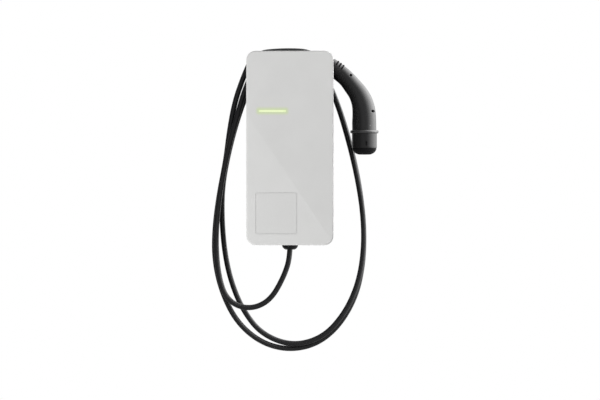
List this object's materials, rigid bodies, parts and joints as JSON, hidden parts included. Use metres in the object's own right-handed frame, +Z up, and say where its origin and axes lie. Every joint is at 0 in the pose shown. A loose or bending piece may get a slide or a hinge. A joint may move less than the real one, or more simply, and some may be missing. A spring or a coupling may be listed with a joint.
{
  "type": "ev wallbox",
  "caption": "Wall-mounted electric car charger with a faceted pale cover, status light, card reader panel and a black charging cable wound round it to a capped handset.",
  "frame": {"origin": "centre of the four wall screws, in the plane of the wall", "axes": "+X to the right seen from the front, +Y into the wall, +Z up"},
  "size_m": [0.3558, 0.108, 0.6505],
  "materials": {
    "cover": "fine satin moulding",
    "insert": "fine satin moulding",
    "light": "clear lit bar",
    "housing": "satin moulding",
    "plate": "satin moulding",
    "zinc": "zinc plated sheet",
    "steel": "machined screws",
    "seal": "matt",
    "gland": "satin moulding",
    "board": "solder resist",
    "relay": "moulded case",
    "terminal": "moulded",
    "sensor": "moulded",
    "spacer": "turned",
    "can": "tinned sheet",
    "lead": "insulated wire",
    "cable": "smooth extruded jacket",
    "plug": "satin moulding",
    "nose": "satin moulding",
    "contact": "silver plated sleeves",
    "cap": "matt moulded"
  },
  "bodies": {
    "housing": {"wall_bracket": "zinc", "cable_drum": "housing", "back_plate": "plate", "front_cover": "cover", "drum_seal": "seal", "cover_seal": "seal", "plate_screws": "steel", "cover_screws": "steel", "locking_screw": "steel", "supply_grommet": "seal", "gland_body": "gland", "gland_locknut": "gland", "gland_nut": "gland", "gland_seal": "seal", "power_board": "board", "board_screws": "steel", "relays": "relay", "supply_terminal": "terminal", "output_terminal": "terminal", "current_sensor": "sensor", "standoffs": "spacer", "control_board": "board", "radio_module": "can", "light_guide": "light", "led_board": "board", "led_screws": "steel", "reader_insert": "insert", "reader_board": "board", "charging_leads": "lead", "charging_cable": "cable", "plug_handle_front": "plug", "plug_handle_rear": "plug", "plug_screws": "steel", "plug_strain_relief": "cap", "plug_nose": "nose", "plug_carrier_front": "nose", "plug_carrier_middle": "nose", "plug_carrier_rear": "nose", "plug_power_contacts": "contact", "plug_signal_contacts": "contact"},
    "cap": {"plug_cap": "cap"}
  },
  "joints": [
    {"name": "cap_slide", "type": "slide", "parent": "housing", "child": "cap", "axis": [0, 0, -1], "range_m": [0, 0.05]}
  ]
}
